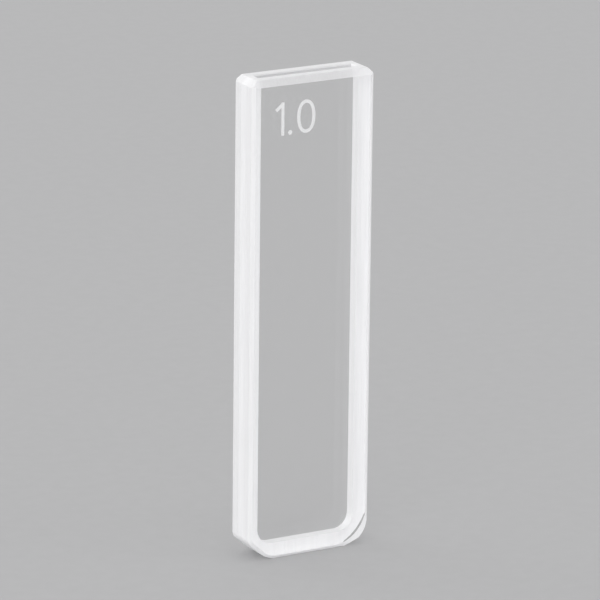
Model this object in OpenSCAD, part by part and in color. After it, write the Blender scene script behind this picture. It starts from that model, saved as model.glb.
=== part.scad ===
// Short-path cuvette: a fused quartz cell that holds a thin layer of liquid between two windows.
//
// A U-shaped spacer plate lies between two window plates, and the three are fused face to face.
// The block is ground to its outline and bevelled after fusing, so the grinding is described
// once, as a blank, and each plate is a slice of that blank.
//
// The origin is at the middle of the base. +Z points up, and the front window faces -Y.

/* [Cell] */
// Width across the two ground sides
cell_width = 12.5; // [10:0.5:24]
// Height from the base to the rim
cell_height = 45; // [20:1:60]
// Thickness of each window plate
window_thickness = 1.25; // [1:0.05:2.5]

/* [Chamber] */
// Light path: the spacer plate's thickness, and so the gap between the windows
light_path = 1; // [0.5:0.1:5]
// Width of the spacer plate's upright arms, left and right of the chamber
arm_width = 1.25; // [1:0.05:3]
// Height of the spacer plate's cross bar, under the chamber
floor_height = 1.3; // [1:0.1:5]
// Radius of the chamber's two bottom corners
chamber_corner_radius = 1.5; // [0.3:0.1:3]

/* [Grinding] */
// Radius of the block's bottom left corner
left_corner_radius = 3.25; // [0.6:0.05:4]
// Radius of its bottom right corner: each is ground by hand, so the two differ
right_corner_radius = 2.5; // [0.6:0.1:4]
// How much is cut off each top corner, along the rim and down the side
rim_corner_cut = 0.6; // [0.2:0.05:0.75]
// Width of the 45 degree bevel round the outer face of each window
edge_bevel = 0.3; // [0.1:0.05:0.5]
// Height of the steep bevel at the top of each window
rim_bevel_height = 0.65; // [0.3:0.05:2]
// How far that bevel leans in at the rim
rim_bevel_depth = 0.3; // [0.2:0.05:0.7]
// Width of the 45 degree lead-in round the mouth of the chamber
mouth_bevel = 0.2; // [0.05:0.05:0.25]

/* [Hidden] */
$fn = 96;

// How far a cutter runs past the surface that it cuts
cut_margin = 1;

cell_depth = light_path + 2 * window_thickness;
chamber_width = cell_width - 2 * arm_width;

// Stands an outline up in the XZ plane and gives it a thickness, half to each side of the plane.
module across_y(thickness) {
    rotate([90, 0, 0])
        linear_extrude(thickness, center = true)
            children();
}

// Stands a section up in the YZ plane and runs it along X, half to each side of the plane.
module along_x(length) {
    rotate([90, 0, 90])
        linear_extrude(length, center = true)
            children();
}

// Plan of the block, seen from above, with a bevel on each upright edge.
module plan_section() {
    side = cell_width / 2;
    face = cell_depth / 2;
    polygon([
        [-side + edge_bevel, -face], [side - edge_bevel, -face],
        [side, -face + edge_bevel], [side, face - edge_bevel],
        [side - edge_bevel, face], [-side + edge_bevel, face],
        [-side, face - edge_bevel], [-side, -face + edge_bevel]
    ]);
}

// Section of the block, seen from the side: bevels at the base, and the steep ones at the rim.
module side_section() {
    face = cell_depth / 2;
    polygon([
        [-face + edge_bevel, 0], [face - edge_bevel, 0],
        [face, edge_bevel], [face, cell_height - rim_bevel_height],
        [face - rim_bevel_depth, cell_height], [-face + rim_bevel_depth, cell_height],
        [-face, cell_height - rim_bevel_height], [-face, edge_bevel]
    ]);
}

// Outline of the block, seen from the front, with its top corners cut off.
module front_outline() {
    side = cell_width / 2;
    polygon([
        [-side, 0], [side, 0],
        [side, cell_height - rim_corner_cut], [side - rim_corner_cut, cell_height],
        [-side + rim_corner_cut, cell_height], [-side, cell_height - rim_corner_cut]
    ]);
}

// A disc as thick as the block, with the same bevel round both of its edges.
module bevelled_disc(radius) {
    face = cell_depth / 2;
    rotate_extrude()
        polygon([
            [0, -face], [radius - edge_bevel, -face], [radius, -face + edge_bevel],
            [radius, face - edge_bevel], [radius - edge_bevel, face], [0, face]
        ]);
}

// What grinding takes off a bottom corner, here the right one: all that lies outside the bevelled
// disc, so the straight bevels of the side and the base run on round the corner as a cone.
module corner_waste(radius) {
    disc_x = cell_width / 2 - radius;
    waste_size = radius + cut_margin;
    difference() {
        translate([disc_x, -cell_depth / 2 - cut_margin, -cut_margin])
            cube([waste_size, cell_depth + 2 * cut_margin, waste_size]);
        translate([disc_x, 0, radius])
            rotate([90, 0, 0])
                bevelled_disc(radius);
    }
}

// A slot of the given width, seen end on, from the foot of the lead-in to above the rim.
module flared_slot(width) {
    flare = mouth_bevel + cut_margin;
    foot = cell_height - mouth_bevel;
    polygon([
        [-width / 2, foot], [width / 2, foot],
        [width / 2 + flare, foot + flare], [-width / 2 - flare, foot + flare]
    ]);
}

// The lead-in at the mouth, which slopes inwards from all four sides of the chamber.
module mouth_lead_in() {
    intersection() {
        along_x(cell_width) flared_slot(light_path);
        across_y(cell_depth) flared_slot(chamber_width);
    }
}

// The whole block as it is after grinding, before the chamber is taken out of the spacer.
module ground_blank() {
    difference() {
        intersection() {
            linear_extrude(cell_height) plan_section();
            along_x(cell_width) side_section();
            across_y(cell_depth) front_outline();
        }
        corner_waste(right_corner_radius);
        mirror([1, 0, 0]) corner_waste(left_corner_radius);
        mouth_lead_in();
    }
}

// The chamber's outline: straight sides, two round bottom corners, and open above the rim.
module chamber_outline() {
    radius = chamber_corner_radius;
    half_flat = chamber_width / 2 - radius;
    translate([-chamber_width / 2, floor_height + radius])
        square([chamber_width, cell_height]);
    translate([-half_flat, floor_height])
        square([2 * half_flat, cell_height]);
    for (x = [-half_flat, half_flat])
        translate([x, floor_height + radius])
            circle(radius);
}

// A slab across the whole block, from one depth along Y to another.
module slab(from_y, to_y) {
    translate([-cell_width / 2 - cut_margin, from_y, -cut_margin])
        cube([cell_width + 2 * cut_margin, to_y - from_y, cell_height + 2 * cut_margin]);
}

// The U-shaped middle plate, which sets the light path and closes the chamber at three sides.
module spacer_frame() {
    color("white")
        difference() {
            intersection() {
                ground_blank();
                slab(-light_path / 2, light_path / 2);
            }
            across_y(light_path + 2 * cut_margin) chamber_outline();
        }
}

// The plate in front of the chamber, polished on both faces and ground round its edge.
module front_window() {
    color("lightcyan", 0.45)
        intersection() {
            ground_blank();
            slab(-cell_depth / 2 - cut_margin, -light_path / 2);
        }
}

// The plate behind the chamber, the mirror image of the front one.
module rear_window() {
    mirror([0, 1, 0]) front_window();
}

spacer_frame();
front_window();
rear_window();
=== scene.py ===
import math
import bmesh
import bpy
from mathutils import Matrix, Vector


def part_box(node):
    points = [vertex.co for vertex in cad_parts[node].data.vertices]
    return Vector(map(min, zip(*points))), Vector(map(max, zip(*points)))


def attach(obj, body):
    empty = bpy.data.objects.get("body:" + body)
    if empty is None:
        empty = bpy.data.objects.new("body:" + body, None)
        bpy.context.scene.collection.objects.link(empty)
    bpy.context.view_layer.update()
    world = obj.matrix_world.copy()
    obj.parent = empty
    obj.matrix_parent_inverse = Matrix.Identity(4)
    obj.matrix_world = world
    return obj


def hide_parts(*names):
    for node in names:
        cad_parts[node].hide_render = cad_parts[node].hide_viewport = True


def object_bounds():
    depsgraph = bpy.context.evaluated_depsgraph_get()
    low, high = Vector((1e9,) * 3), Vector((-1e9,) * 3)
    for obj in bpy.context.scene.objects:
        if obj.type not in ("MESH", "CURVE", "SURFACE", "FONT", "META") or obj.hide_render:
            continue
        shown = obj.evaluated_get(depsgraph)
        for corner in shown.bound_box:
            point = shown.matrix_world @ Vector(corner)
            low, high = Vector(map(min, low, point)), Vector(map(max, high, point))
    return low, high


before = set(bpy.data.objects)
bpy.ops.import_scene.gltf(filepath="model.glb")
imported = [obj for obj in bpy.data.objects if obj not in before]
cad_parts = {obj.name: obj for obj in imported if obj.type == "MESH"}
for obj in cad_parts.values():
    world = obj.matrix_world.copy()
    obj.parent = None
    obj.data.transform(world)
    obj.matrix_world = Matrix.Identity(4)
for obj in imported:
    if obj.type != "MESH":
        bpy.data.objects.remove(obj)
cad_low, cad_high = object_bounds()

# ---------------------------------------------------------------------------------------------
# Spacer plate
# The U-shaped plate in the middle of the cell, which sets the light path. It is fused quartz,
# sawn and ground white on every face, and the two windows are fused on to its front and back.
# ---------------------------------------------------------------------------------------------
MM = 0.001
ARM_WIDTH = 1.25 * MM
FLOOR_HEIGHT = 1.3 * MM
CHAMBER_RADIUS = 1.5 * MM
# The bottom corners are ground by hand. The left one is cut across and blended in at both ends of
# the cut, and the right one is round, with a shallow flat where it runs into the base.
LEFT_CUT_ACROSS = 2.0 * MM
LEFT_CUT_UP = 1.8 * MM
LEFT_BLEND_INTO_BASE = 0.8 * MM
LEFT_BLEND_INTO_SIDE = 0.35 * MM
RIGHT_CORNER_RADIUS = 2.4 * MM
RIGHT_FLAT_START = 3.9 * MM
RIGHT_FLAT_SLOPE = math.radians(20.5)
RIM_CORNER_CUT = 0.6 * MM
MOUTH_BEVEL = 0.1 * MM
# The fused joint, drawn as a film so thin that the plate's white face shows through the window.
JOINT_FILM = 0.01 * MM
ARC_STEPS = 32
SAME_PLACE = 0.0001 * MM
# Faces that meet at less than this are one round face.
ROUND_ANGLE = math.radians(6)
QUARTZ_IOR = 1.458
# The marks of the lap. The grain is drawn several times coarser than the grit, so that it shows,
# and the streaks are drawn out along the cell's height, by squeezing their pattern to this share.
GRAIN_SIZE = 0.08 * MM
GRAIN_DEPTH = 0.01 * MM
STREAK_WIDTH = 0.2 * MM
STREAK_SQUEEZE = 0.04
PATCH_SIZE = 4 * MM

spacer_low, spacer_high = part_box("spacer_frame")
side = spacer_high.x
rim = spacer_high.z
chamber_side = side - ARM_WIDTH


def linear(colour):
    """An sRGB hex colour as linear RGBA."""
    channels = [int(colour[i:i + 2], 16) / 255 for i in (1, 3, 5)]
    return [c / 12.92 if c <= 0.04045 else ((c + 0.055) / 1.055) ** 2.4 for c in channels] + [1]


def add_node(owner, kind, inputs=None, **settings):
    """Adds a node, whose inputs each take a value or the socket that feeds them."""
    node = owner.node_tree.nodes.new("ShaderNode" + kind)
    for name, value in settings.items():
        setattr(node, name, value)
    for name, value in (inputs or {}).items():
        if isinstance(value, bpy.types.NodeSocket):
            owner.node_tree.links.new(value, node.inputs[name])
        else:
            node.inputs[name].default_value = value
    return node


def new_material(name):
    """A material with an empty node tree."""
    material = bpy.data.materials.new(name)
    material.use_nodes = True
    material.node_tree.nodes.clear()
    return material


def two_tones(material, pattern, first, second):
    """A colour that goes from one hex colour to another over the middle part of a noise pattern,
    where nearly all of its values lie."""
    ramp = add_node(material, "ValToRGB", {"Fac": pattern})
    ramp.color_ramp.elements[0].color = linear(first)
    ramp.color_ramp.elements[1].color = linear(second)
    ramp.color_ramp.elements[0].position = 0.3
    ramp.color_ramp.elements[1].position = 0.7
    return ramp.outputs["Color"]


def ground_quartz_finish(name, clearness, glow):
    """Fused quartz lapped with loose grit: silky white, with a fine even grain and faint streaks
    along the lap's stroke. clearness is how far it can be seen into, and glow is the share of the
    light from behind that it spreads. It lets most of the lamps' light on into the quartz."""
    material = new_material(name)
    place = add_node(material, "TexCoord").outputs["Object"]
    grain = add_node(material, "TexNoise", {"Vector": place, "Scale": 1 / GRAIN_SIZE, "Detail": 2})
    stroke = add_node(material, "Mapping", {"Vector": place, "Scale": (1, 1, STREAK_SQUEEZE)})
    streaks = add_node(
        material, "TexNoise", {"Vector": stroke.outputs[0], "Scale": 1 / STREAK_WIDTH, "Detail": 3}
    )
    patches = add_node(
        material, "TexNoise", {"Vector": place, "Scale": 1 / PATCH_SIZE, "Detail": 2}
    )
    tone = two_tones(material, streaks.outputs[0], "#F4F4F5", "#FAFAFB")
    rough = add_node(
        material, "MapRange", {"Value": patches.outputs[0], "To Min": 0.46, "To Max": 0.62}
    )
    bump = add_node(
        material, "Bump", {"Height": grain.outputs[0], "Strength": 0.2, "Distance": GRAIN_DEPTH}
    )
    face = add_node(
        material, "BsdfPrincipled",
        {"Base Color": tone, "Roughness": rough.outputs[0], "IOR": QUARTZ_IOR,
         "Transmission Weight": clearness, "Normal": bump.outputs[0]}
    )
    spread = add_node(material, "BsdfTranslucent", {"Color": tone})
    surface = add_node(material, "MixShader", {0: glow, 1: face.outputs[0], 2: spread.outputs[0]})
    passing = add_node(material, "BsdfTransparent", {"Color": linear("#EEEEEE")})
    ray = add_node(material, "LightPath")
    both = add_node(
        material, "MixShader",
        {0: ray.outputs["Is Shadow Ray"], 1: surface.outputs[0], 2: passing.outputs[0]}
    )
    add_node(material, "OutputMaterial", {"Surface": both.outputs[0]})
    return material


ground_plate = ground_quartz_finish("ground_quartz_plate", clearness=0.05, glow=0.08)


def plate_mesh(corners, roundings, from_y, to_y):
    """A flat plate between two depths. corners is its outline in X and Z, and roundings gives how
    far back from a corner its rounding starts, by the corner's place in the list."""
    bm = bmesh.new()
    verts = [bm.verts.new((x, from_y, z)) for x, z in corners]
    bm.faces.new(verts)
    for i, setback in roundings.items():
        bmesh.ops.bevel(
            bm, geom=[verts[i]], offset=setback, segments=ARC_STEPS, profile=0.5,
            affect="VERTICES", material=-1
        )
    grown = bmesh.ops.extrude_face_region(bm, geom=bm.faces[:])
    moved = [v for v in grown["geom"] if isinstance(v, bmesh.types.BMVert)]
    bmesh.ops.translate(bm, verts=moved, vec=(0, to_y - from_y, 0))
    bmesh.ops.recalc_face_normals(bm, faces=bm.faces)
    return bm


def grind_off(bm, point, normal):
    """Takes off all that lies beyond a plane, and closes the cut."""
    everything = bm.verts[:] + bm.edges[:] + bm.faces[:]
    cut = bmesh.ops.bisect_plane(
        bm, geom=everything, plane_co=point, plane_no=normal, clear_outer=True, dist=SAME_PLACE
    )
    edges = [e for e in cut["geom_cut"] if isinstance(e, bmesh.types.BMEdge)]
    bmesh.ops.contextual_create(bm, geom=edges)
    bmesh.ops.recalc_face_normals(bm, faces=bm.faces)


def grind_corners(bm):
    """Grinds the two top corners off at 45 degrees, and the flat beside the right bottom one."""
    for way in (-1, 1):
        grind_off(bm, (way * side, 0, rim - RIM_CORNER_CUT), (way, 0, 1))
    slope = (math.sin(RIGHT_FLAT_SLOPE), 0, -math.cos(RIGHT_FLAT_SLOPE))
    grind_off(bm, (RIGHT_FLAT_START, 0, 0), slope)


def cut_away(bm, tool):
    """Cuts the closed shape tool out of bm."""
    shapes = []
    for source in (bm, tool):
        mesh = bpy.data.meshes.new("shape")
        source.to_mesh(mesh)
        source.free()
        shapes.append(bpy.data.objects.new("shape", mesh))
        bpy.context.scene.collection.objects.link(shapes[-1])
    body, cutter = shapes
    boolean = body.modifiers.new("cut", "BOOLEAN")
    boolean.object = cutter
    boolean.solver = "EXACT"
    result = bmesh.new()
    result.from_object(body, bpy.context.evaluated_depsgraph_get())
    bmesh.ops.remove_doubles(result, verts=result.verts, dist=SAME_PLACE)
    for shape in shapes:
        bpy.data.objects.remove(shape)
    return result


def mouth_tool():
    """The lead-in's shape: a block that widens upwards at 45 degrees, from the chamber's own width
    and depth to well above the rim."""
    height = 1 * MM
    foot = Vector((chamber_side, spacer_high.y, rim - MOUTH_BEVEL))
    tool = bmesh.new()
    bmesh.ops.create_cube(tool, size=2)
    for v in tool.verts:
        widening = height if v.co.z > 0 else 0
        v.co = Vector((
            v.co.x * (foot.x + widening), v.co.y * (foot.y + widening), foot.z + widening
        ))
    return tool


def piece_from(bm, name, materials):
    """Makes the piece, with round faces smooth and flat ones flat."""
    mesh = bpy.data.meshes.new(name)
    bm.to_mesh(mesh)
    bm.free()
    for material in materials:
        mesh.materials.append(material)
    mesh.shade_smooth()
    mesh.set_sharp_from_angle(angle=ROUND_ANGLE)
    piece = bpy.data.objects.new(name, mesh)
    bpy.context.scene.collection.objects.link(piece)
    return piece


base_outline = [(-side, LEFT_CUT_UP), (LEFT_CUT_ACROSS - side, 0), (side, 0), (side, rim)]
base_roundings = {0: LEFT_BLEND_INTO_SIDE, 1: LEFT_BLEND_INTO_BASE, 2: RIGHT_CORNER_RADIUS}
spacer_outline = base_outline + [
    (chamber_side, rim), (chamber_side, FLOOR_HEIGHT), (-chamber_side, FLOOR_HEIGHT),
    (-chamber_side, rim), (-side, rim)
]
spacer_roundings = {**base_roundings, 5: CHAMBER_RADIUS, 6: CHAMBER_RADIUS}
spacer_faces = (spacer_low.y + JOINT_FILM, spacer_high.y - JOINT_FILM)
spacer_mesh = plate_mesh(spacer_outline, spacer_roundings, *spacer_faces)
grind_corners(spacer_mesh)
spacer_mesh = cut_away(spacer_mesh, mouth_tool())
spacer = piece_from(spacer_mesh, "spacer_plate", [ground_plate])
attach(spacer, "root")
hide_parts("spacer_frame")

# ---------------------------------------------------------------------------------------------
# Rear window
# The plate behind the chamber. It is fused silica, polished clear on both faces and ground white
# round its edge, with a 45 degree bevel round the outer face that is steeper along the rim.
# ---------------------------------------------------------------------------------------------
EDGE_BEVEL = 0.3 * MM
RIM_BEVEL_HEIGHT = 0.65 * MM
RIM_BEVEL_DEPTH = 0.3 * MM
# Round the right corner the bevel was lapped broader, to this radius on the polished face.
BROAD_BEVEL_RADIUS = 3.5 * MM
# The bevel leaves the corner's two end points a little outside its quarter circle, within this.
ARC_END_SLACK = 0.01 * MM
# The edge of the broad bevel carries a narrow strip of painted shade, a grey line standing in for
# the dark line of shade there, which thins out towards both ends of its sweep.
SHADE_LINE_WIDTH = 0.4 * MM
# The share of its width that is left at the ends.
SHADE_LINE_THINNEST = 0.1
SHADE_LINE_FROM = math.radians(13)
SHADE_LINE_TO = math.radians(71)
HAZE_SIZE = 9 * MM
LINE_MOTTLE_SIZE = 0.2 * MM
# How much of a face's normal lies along the light path. The polished faces have all of it, and the
# bevels of the rim and the mouth, whose normals also rise, have more than half.
POLISHED_FACING = 0.999
BEVEL_FACING = 0.5
BEVEL_RISE = 0.1


def polished_fused_silica():
    """Optically polished fused silica: clear and colourless, with a mirror-like skin. Light that
    goes through it to what lies behind passes nearly in full."""
    material = new_material("polished_fused_silica")
    place = add_node(material, "TexCoord").outputs["Object"]
    haze = add_node(material, "TexNoise", {"Vector": place, "Scale": 1 / HAZE_SIZE, "Detail": 2})
    rough = add_node(
        material, "MapRange", {"Value": haze.outputs[0], "To Min": 0.0, "To Max": 0.02}
    )
    face = add_node(
        material, "BsdfPrincipled",
        {"Base Color": linear("#FEFEFE"), "Roughness": rough.outputs[0], "IOR": QUARTZ_IOR,
         "Transmission Weight": 1}
    )
    passing = add_node(material, "BsdfTransparent", {"Color": linear("#FBFBFB")})
    ray = add_node(material, "LightPath")
    spread = add_node(
        material, "MixShader",
        {0: ray.outputs["Is Diffuse Ray"], 1: face.outputs[0], 2: passing.outputs[0]}
    )
    both = add_node(
        material, "MixShader",
        {0: ray.outputs["Is Shadow Ray"], 1: spread.outputs[0], 2: passing.outputs[0]}
    )
    add_node(material, "OutputMaterial", {"Surface": both.outputs[0]})
    return material


polished_silica = polished_fused_silica()
ground_edge = ground_quartz_finish("ground_silica_edge", clearness=0.08, glow=0.15)
# The rim's bevels are lapped with a finer grit, so they are clearer than the sides.
fine_bevel = ground_quartz_finish("fine_ground_bevel", clearness=0.5, glow=0.15)


def painted_shade_line():
    """The line where the broad bevel breaks the polished face, painted an uneven dull grey as
    painted shade: it stands in for the dark line of shade along that edge.
    """
    material = new_material("painted_shade_line")
    place = add_node(material, "TexCoord").outputs["Object"]
    line_mottle = add_node(material, "TexNoise", {"Vector": place, "Scale": 1 / LINE_MOTTLE_SIZE, "Detail": 3})
    tone = two_tones(material, line_mottle.outputs[0], "#ACACAC", "#C4C4C4")
    rough = add_node(
        material, "MapRange", {"Value": line_mottle.outputs[0], "To Min": 0.25, "To Max": 0.5}
    )
    face = add_node(
        material, "BsdfPrincipled",
        {"Base Color": tone, "Roughness": rough.outputs[0], "IOR": QUARTZ_IOR}
    )
    add_node(material, "OutputMaterial", {"Surface": face.outputs[0]})
    return material


# The grey line of painted shade along the broad bevel's edge.
shade_line_paint = painted_shade_line()
# The finishes' places among a window's materials, after the polished one. The third of them is the
# grey line of painted shade.
GROUND, FINE, SHADE_LINE, FROSTED = range(1, 5)


def broaden_right_bevel(bm, outer_y):
    """Draws the polished face's right bottom corner in, from its own arc to the broad one, and lays
    a narrow strip along the edge between the two, for the line of painted shade."""
    old_centre = Vector((side - RIGHT_CORNER_RADIUS, 0, RIGHT_CORNER_RADIUS))
    inset = EDGE_BEVEL + BROAD_BEVEL_RADIUS
    new_centre = Vector((side - inset, outer_y, inset))
    shade_line_verts = []
    for v in bm.verts:
        spoke = Vector((v.co.x - old_centre.x, 0, v.co.z - old_centre.z))
        in_corner = spoke.x > -ARC_END_SLACK and spoke.z < ARC_END_SLACK
        if in_corner and abs(v.co.y - outer_y) < SAME_PLACE:
            v.co = new_centre + spoke.normalized() * BROAD_BEVEL_RADIUS
            if SHADE_LINE_FROM < math.atan2(-spoke.z, spoke.x) < SHADE_LINE_TO:
                shade_line_verts.append(v)
    edges = [e for e in bm.edges if all(v in shade_line_verts for v in e.verts)]
    line = bmesh.ops.bevel(
        bm, geom=edges, offset=SHADE_LINE_WIDTH / 2, segments=1, profile=0.5, affect="EDGES",
        material=-1
    )["faces"]
    for v in {v for face in line for v in face.verts}:
        turn = math.atan2(new_centre.z - v.co.z, v.co.x - new_centre.x)
        turn = min(max(turn, SHADE_LINE_FROM), SHADE_LINE_TO)
        fullness = math.sqrt(math.sin(math.pi * (turn - SHADE_LINE_FROM) / (SHADE_LINE_TO - SHADE_LINE_FROM)))
        spoke = Vector((math.cos(turn), 0, -math.sin(turn)))
        v.co = (new_centre + spoke * BROAD_BEVEL_RADIUS).lerp(v.co, max(fullness, SHADE_LINE_THINNEST))
    return line


def window_mesh(inner_y, outer_y):
    """One window plate, ground to the outline, with its bevels and its share of the lead-in."""
    outward = math.copysign(1, outer_y)
    bm = plate_mesh(base_outline + [(-side, rim)], base_roundings, inner_y, outer_y)
    outer_edges = [
        e for e in bm.edges
        if all(abs(v.co.y - outer_y) < SAME_PLACE for v in e.verts)
        and any(v.co.z < rim - SAME_PLACE for v in e.verts)
    ]
    bmesh.ops.bevel(
        bm, geom=outer_edges, offset=EDGE_BEVEL, segments=1, profile=0.5, affect="EDGES",
        material=-1
    )
    for face in broaden_right_bevel(bm, outer_y):
        # The strip along the broad bevel's edge takes the grey line of painted shade.
        face.material_index = SHADE_LINE
    grind_off(
        bm, (0, outer_y, rim - RIM_BEVEL_HEIGHT), (0, outward * RIM_BEVEL_HEIGHT, RIM_BEVEL_DEPTH)
    )
    grind_corners(bm)
    bm = cut_away(bm, mouth_tool())
    for face in bm.faces:
        facing = abs(face.normal.y)
        if face.material_index != SHADE_LINE and facing < POLISHED_FACING:
            on_bevel = facing > BEVEL_FACING and face.normal.z > BEVEL_RISE
            face.material_index = FINE if on_bevel else GROUND
    return bm


rear_low, rear_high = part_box("rear_window")
rear_mesh = window_mesh(rear_low.y, rear_high.y)
window_finishes = [polished_silica, ground_edge, fine_bevel, shade_line_paint]
rear_plate = piece_from(rear_mesh, "rear_window_plate", window_finishes)
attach(rear_plate, "root")
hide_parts("rear_window")

# ---------------------------------------------------------------------------------------------
# Front window
# The same plate, in front of the chamber, with the light path in millimetres on its outer face.
# The numerals are blasted through a stencil, so they are shallow, frosted and pale.
# ---------------------------------------------------------------------------------------------
NUMERAL_HEIGHT = 3.06 * MM
NUMERAL_FOOT = 39.77 * MM
STEM_X = -3.2 * MM
STROKE = 0.31 * MM
FLAG_LENGTH = 0.9 * MM
FLAG_SLOPE = math.radians(40)
POINT_X = -2.65 * MM
BLAST_DEPTH = 0.02 * MM
# In the typeface's own units: how far a stroke is thinned, and how near two points are one.
THINNING = 0.012
SAME_POINT = 0.001
# The pits are drawn coarser than the grit makes them, so that they show.
PIT_SIZE = 0.06 * MM
PIT_DEPTH = 0.01 * MM
FROST_GLOW = 0.25


def blasted_frost():
    """Silica blasted with fine grit: a pale, speckled frost that half hides what is behind."""
    material = new_material("blasted_frost")
    place = add_node(material, "TexCoord").outputs["Object"]
    pits = add_node(material, "TexNoise", {"Vector": place, "Scale": 1 / PIT_SIZE, "Detail": 3})
    tone = two_tones(material, pits.outputs[0], "#E4E5E6", "#FCFCFC")
    bump = add_node(
        material, "Bump", {"Height": pits.outputs[0], "Strength": 0.4, "Distance": PIT_DEPTH}
    )
    face = add_node(
        material, "BsdfPrincipled",
        {"Base Color": tone, "Roughness": 0.7, "IOR": QUARTZ_IOR, "Transmission Weight": 0.05,
         "Normal": bump.outputs[0]}
    )
    spread = add_node(material, "BsdfTranslucent", {"Color": tone})
    both = add_node(
        material, "MixShader", {0: FROST_GLOW, 1: face.outputs[0], 2: spread.outputs[0]}
    )
    add_node(material, "OutputMaterial", {"Surface": both.outputs[0]})
    return material


def stroke_tool(start, end, outer_y):
    """One straight stroke of a numeral, which stands in the window's face to the blasting depth."""
    along = end - start
    tool = bmesh.new()
    bmesh.ops.create_cube(tool, size=1)
    turn = Matrix.Rotation(-math.atan2(along.z, along.x), 4, "Y")
    size = Matrix.Diagonal((along.length, 2 * BLAST_DEPTH, STROKE, 1))
    middle = (start + end) / 2
    place = Matrix.Translation((middle.x, outer_y, middle.z))
    bmesh.ops.transform(tool, matrix=place @ turn @ size, verts=tool.verts)
    return tool


def point_and_nought_tool(outer_y):
    """The decimal point and the nought, thinned to the same stroke."""
    text = bpy.data.curves.new("point_and_nought", "FONT")
    text.body = ".0"
    text.extrude = 1
    text.offset = -THINNING
    holder = bpy.data.objects.new("point_and_nought", text)
    bpy.context.scene.collection.objects.link(holder)
    evaluated = holder.evaluated_get(bpy.context.evaluated_depsgraph_get())
    tool = bmesh.new()
    tool.from_mesh(bpy.data.meshes.new_from_object(evaluated))
    bpy.data.objects.remove(holder)
    bmesh.ops.remove_doubles(tool, verts=tool.verts, dist=SAME_POINT)
    left = min(v.co.x for v in tool.verts)
    foot = min(v.co.y for v in tool.verts)
    size = NUMERAL_HEIGHT / (max(v.co.y for v in tool.verts) - foot)
    for v in tool.verts:
        depth = BLAST_DEPTH if v.co.z < 0 else -BLAST_DEPTH
        v.co = Vector((
            POINT_X + (v.co.x - left) * size, outer_y + depth, NUMERAL_FOOT + (v.co.y - foot) * size
        ))
    bmesh.ops.recalc_face_normals(tool, faces=tool.faces)
    return tool


frost = blasted_frost()
front_low, front_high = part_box("front_window")
front_mesh = window_mesh(front_high.y, front_low.y)
one_top = Vector((STEM_X, 0, NUMERAL_FOOT + NUMERAL_HEIGHT))
one_foot = Vector((STEM_X, 0, NUMERAL_FOOT))
flag_root = one_top - Vector((0, 0, STROKE / 2))
flag_tip = flag_root - Vector((math.cos(FLAG_SLOPE), 0, math.sin(FLAG_SLOPE))) * FLAG_LENGTH
front_mesh = cut_away(front_mesh, stroke_tool(one_foot, one_top, front_low.y))
front_mesh = cut_away(front_mesh, stroke_tool(flag_root, flag_tip, front_low.y))
front_mesh = cut_away(front_mesh, point_and_nought_tool(front_low.y))
for face in front_mesh.faces:
    deepest = max(v.co.y for v in face.verts) - front_low.y
    in_height = all(NUMERAL_FOOT - STROKE < v.co.z < one_top.z + STROKE for v in face.verts)
    if in_height and SAME_PLACE < deepest < BLAST_DEPTH + SAME_PLACE:
        face.material_index = FROSTED
front_plate = piece_from(front_mesh, "front_window_plate", window_finishes + [frost])
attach(front_plate, "root")
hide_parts("front_window")

# ---------------------------------------------------------------------------------------------
# Floor
# A wide round sheet of matt pale grey card, under the cell. The cell's ground base stands on the
# card's fibres, so a little air stays between the two faces.
# ---------------------------------------------------------------------------------------------
CARD_RADIUS = 1500 * MM
CARD_AIR = 0.01 * MM
MOTTLE_SIZE = 1.5 * MM


def matt_card():
    """Matt pale card, with the faintest mottle of its pulp."""
    material = new_material("matt_card")
    place = add_node(material, "TexCoord").outputs["Object"]
    pulp = add_node(material, "TexNoise", {"Vector": place, "Scale": 1 / MOTTLE_SIZE, "Detail": 3})
    tone = two_tones(material, pulp.outputs[0], "#B4B4B5", "#B6B6B7")
    face = add_node(material, "BsdfPrincipled", {"Base Color": tone, "Roughness": 0.9})
    add_node(material, "OutputMaterial", {"Surface": face.outputs[0]})
    return material


card_mesh = bmesh.new()
bmesh.ops.create_circle(
    card_mesh, cap_ends=True, segments=64, radius=CARD_RADIUS,
    matrix=Matrix.Translation((0, 0, -CARD_AIR))
)
card = piece_from(card_mesh, "card_floor", [matt_card()])

# ---------------------------------------------------------------------------------------------
# Light
# A white light tent, which looks like a backdrop in the tone of the lit card, and three soft
# lamps: the key at the front left, the fill at the front right, and a weaker one at the back left.
# ---------------------------------------------------------------------------------------------
BACKDROP_GREY = "#BABABB"

studio = bpy.data.worlds.new("studio")
bpy.context.scene.world = studio
studio.use_nodes = True
studio.node_tree.nodes.clear()
tent = add_node(studio, "Background", {"Color": linear("#EEEEEE"), "Strength": 1})
backdrop = add_node(studio, "Background", {"Color": linear(BACKDROP_GREY), "Strength": 1})
ray = add_node(studio, "LightPath")
room = tent
for kind in ("Is Camera Ray", "Is Glossy Ray", "Is Transmission Ray"):
    room = add_node(
        studio, "MixShader", {0: ray.outputs[kind], 1: room.outputs[0], 2: backdrop.outputs[0]}
    )
add_node(studio, "OutputWorld", {"Surface": room.outputs[0]})

cell_middle = (cad_low + cad_high) / 2


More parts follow.
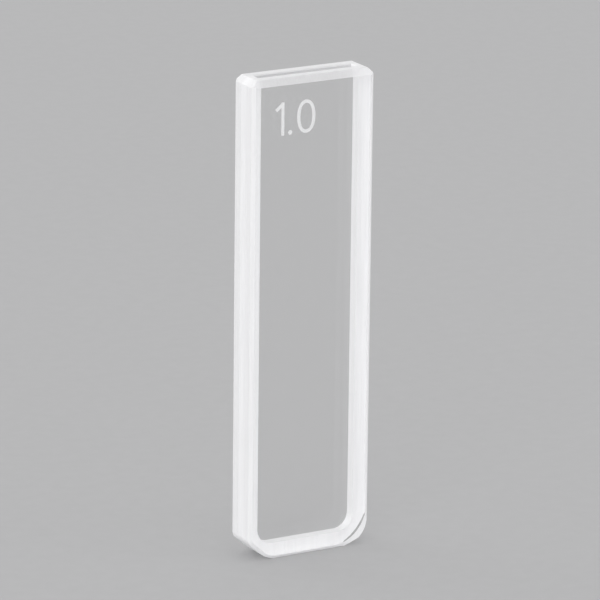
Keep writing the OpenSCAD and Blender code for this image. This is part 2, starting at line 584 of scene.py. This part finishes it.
def direction(azimuth, elevation):
    """The unit vector to a point that many degrees round from the front, and that high."""
    a = math.radians(azimuth)
    e = math.radians(elevation)
    return Vector((math.sin(a) * math.cos(e), -math.cos(a) * math.cos(e), math.sin(e)))


def add_soft_lamp(name, azimuth, elevation, width, strength):
    """A wide lamp, so far off that it lights the whole floor evenly. width is the angle that it
    fills, seen from the cell."""
    lamp = bpy.data.lights.new(name, "SUN")
    lamp.angle = math.radians(width)
    lamp.energy = strength
    holder = bpy.data.objects.new(name, lamp)
    holder.location = cell_middle + direction(azimuth, elevation)
    holder.rotation_euler = direction(azimuth, elevation).to_track_quat("Z", "Y").to_euler()
    bpy.context.scene.collection.objects.link(holder)


add_soft_lamp("key_lamp", azimuth=-48, elevation=13, width=31, strength=1.03)
add_soft_lamp("fill_lamp", azimuth=46, elevation=13, width=28, strength=0.53)
add_soft_lamp("back_lamp", azimuth=-150, elevation=25, width=28, strength=0.42)

# ---------------------------------------------------------------------------------------------
# Camera
# A long lens at the cell's front left, above its rim and looking a little down on it. It is turned
# slightly about its own axis, and aims just above the middle of the cell.
# ---------------------------------------------------------------------------------------------
CAMERA_DISTANCE = 456.3 * MM
CAMERA_ROLL = math.radians(0.642)
LENS = 302.2
AIM_UP = 1.116 * MM
AIM_RIGHT = -0.2 * MM

camera_data = bpy.data.cameras.new("camera")
camera_data.lens = LENS
camera_data.clip_start = 10 * MM
camera_data.clip_end = 100
camera = bpy.data.objects.new("camera", camera_data)
bpy.context.scene.collection.objects.link(camera)
tilt = Matrix.Rotation(CAMERA_ROLL, 3, "Z")
to_camera = direction(azimuth=-29.74, elevation=16.28)
camera.location = cell_middle + to_camera * CAMERA_DISTANCE
right, up, _ = (to_camera.to_track_quat("Z", "Y").to_matrix() @ tilt).col
aim = cell_middle + right * AIM_RIGHT + up * AIM_UP
facing = (camera.location - aim).to_track_quat("Z", "Y").to_matrix()
camera.rotation_euler = (facing @ tilt).to_euler()
bpy.context.scene.camera = camera
bpy.context.scene.view_settings.view_transform = "Standard"
